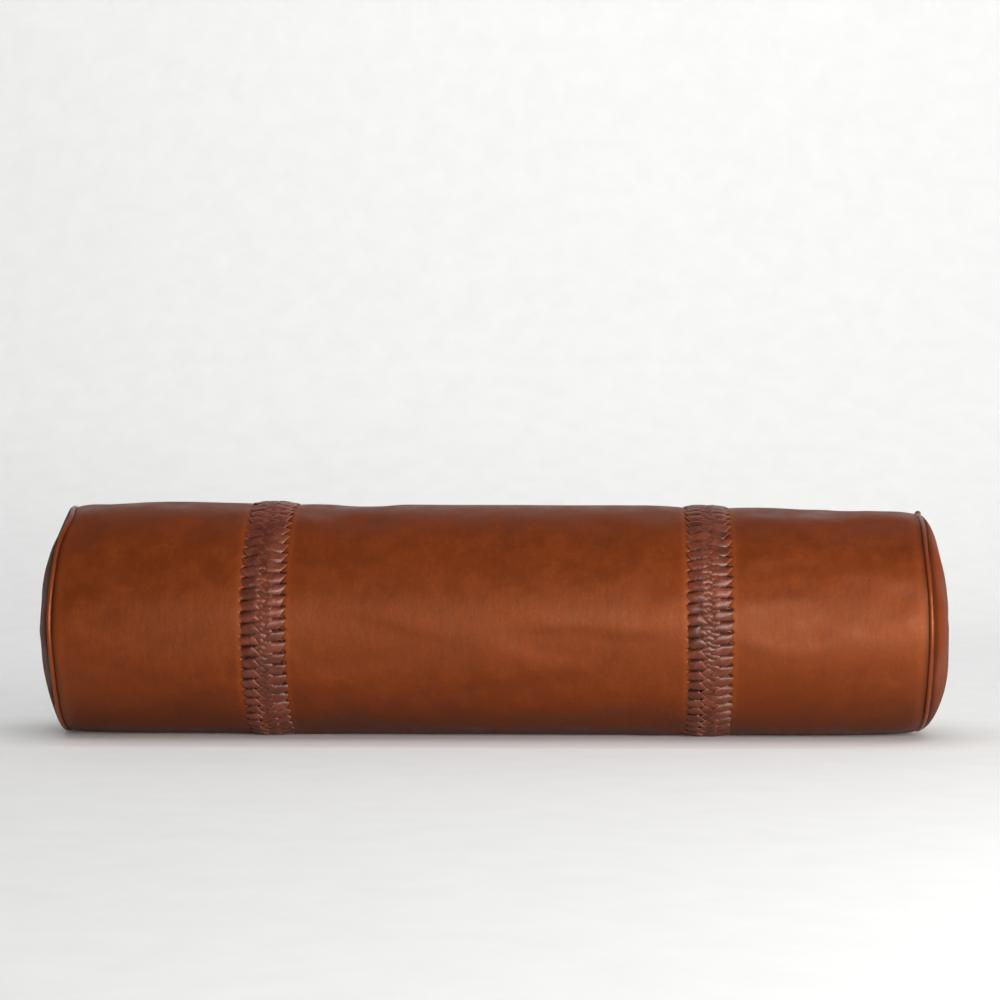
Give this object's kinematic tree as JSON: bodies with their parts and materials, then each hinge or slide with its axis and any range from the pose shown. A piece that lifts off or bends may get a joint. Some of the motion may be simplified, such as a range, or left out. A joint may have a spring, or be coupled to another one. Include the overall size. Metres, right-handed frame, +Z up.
{
  "type": "bolster pillow",
  "caption": "Long round leather bolster pillow with plaited lace bands, piped bulging ends, a stuffed removable insert and a zip at the back.",
  "frame": {"origin": "on the ground, under the middle of the bolster", "axes": "+X along the bolster, +Y towards the back, where the zip is, +Z up"},
  "size_m": [0.914, 0.2372, 0.2314],
  "materials": {
    "leather": "smooth brown hide, satin",
    "lace": "darker flat laces, satin",
    "piping": "smooth brown hide, satin",
    "backing": "matt split hide",
    "cotton": "plain woven cotton",
    "filling": "loose polyester fibre",
    "piping_cord": "twisted cotton cord",
    "zipper_tape": "woven polyester tape",
    "zipper_coil": "brown nylon coil",
    "zipper_metal": "aged brass"
  },
  "bodies": {
    "bolster": {"insert_filling": "filling", "insert_case_tube": "cotton", "insert_case_left_end": "cotton", "insert_case_right_end": "cotton", "centre_panel": "leather", "left_panel": "leather", "right_panel": "leather", "left_end_cap": "leather", "right_end_cap": "leather", "left_piping_cover": "piping", "right_piping_cover": "piping", "left_piping_cord": "piping_cord", "right_piping_cord": "piping_cord", "left_braid": "lace", "right_braid": "lace", "left_braid_backing": "backing", "right_braid_backing": "backing", "zipper_tape_upper": "zipper_tape", "zipper_tape_lower": "zipper_tape", "zipper_coil_upper": "zipper_coil", "zipper_coil_lower": "zipper_coil", "zipper_stop_open": "zipper_metal", "zipper_stop_closed": "zipper_metal"},
    "slider": {"zipper_slider": "zipper_metal"},
    "pull": {"zipper_pull": "zipper_metal"}
  },
  "joints": [
    {"name": "zip_slide", "type": "slide", "parent": "bolster", "child": "slider", "axis": [-1, 0, 0], "range_m": [0, 0.294]},
    {"name": "pull_swing", "type": "hinge", "parent": "slider", "child": "pull", "pos_m": [0.145, 0.117, 0.1128], "axis": [0, 0, -1], "range_deg": [0, 175]}
  ]
}
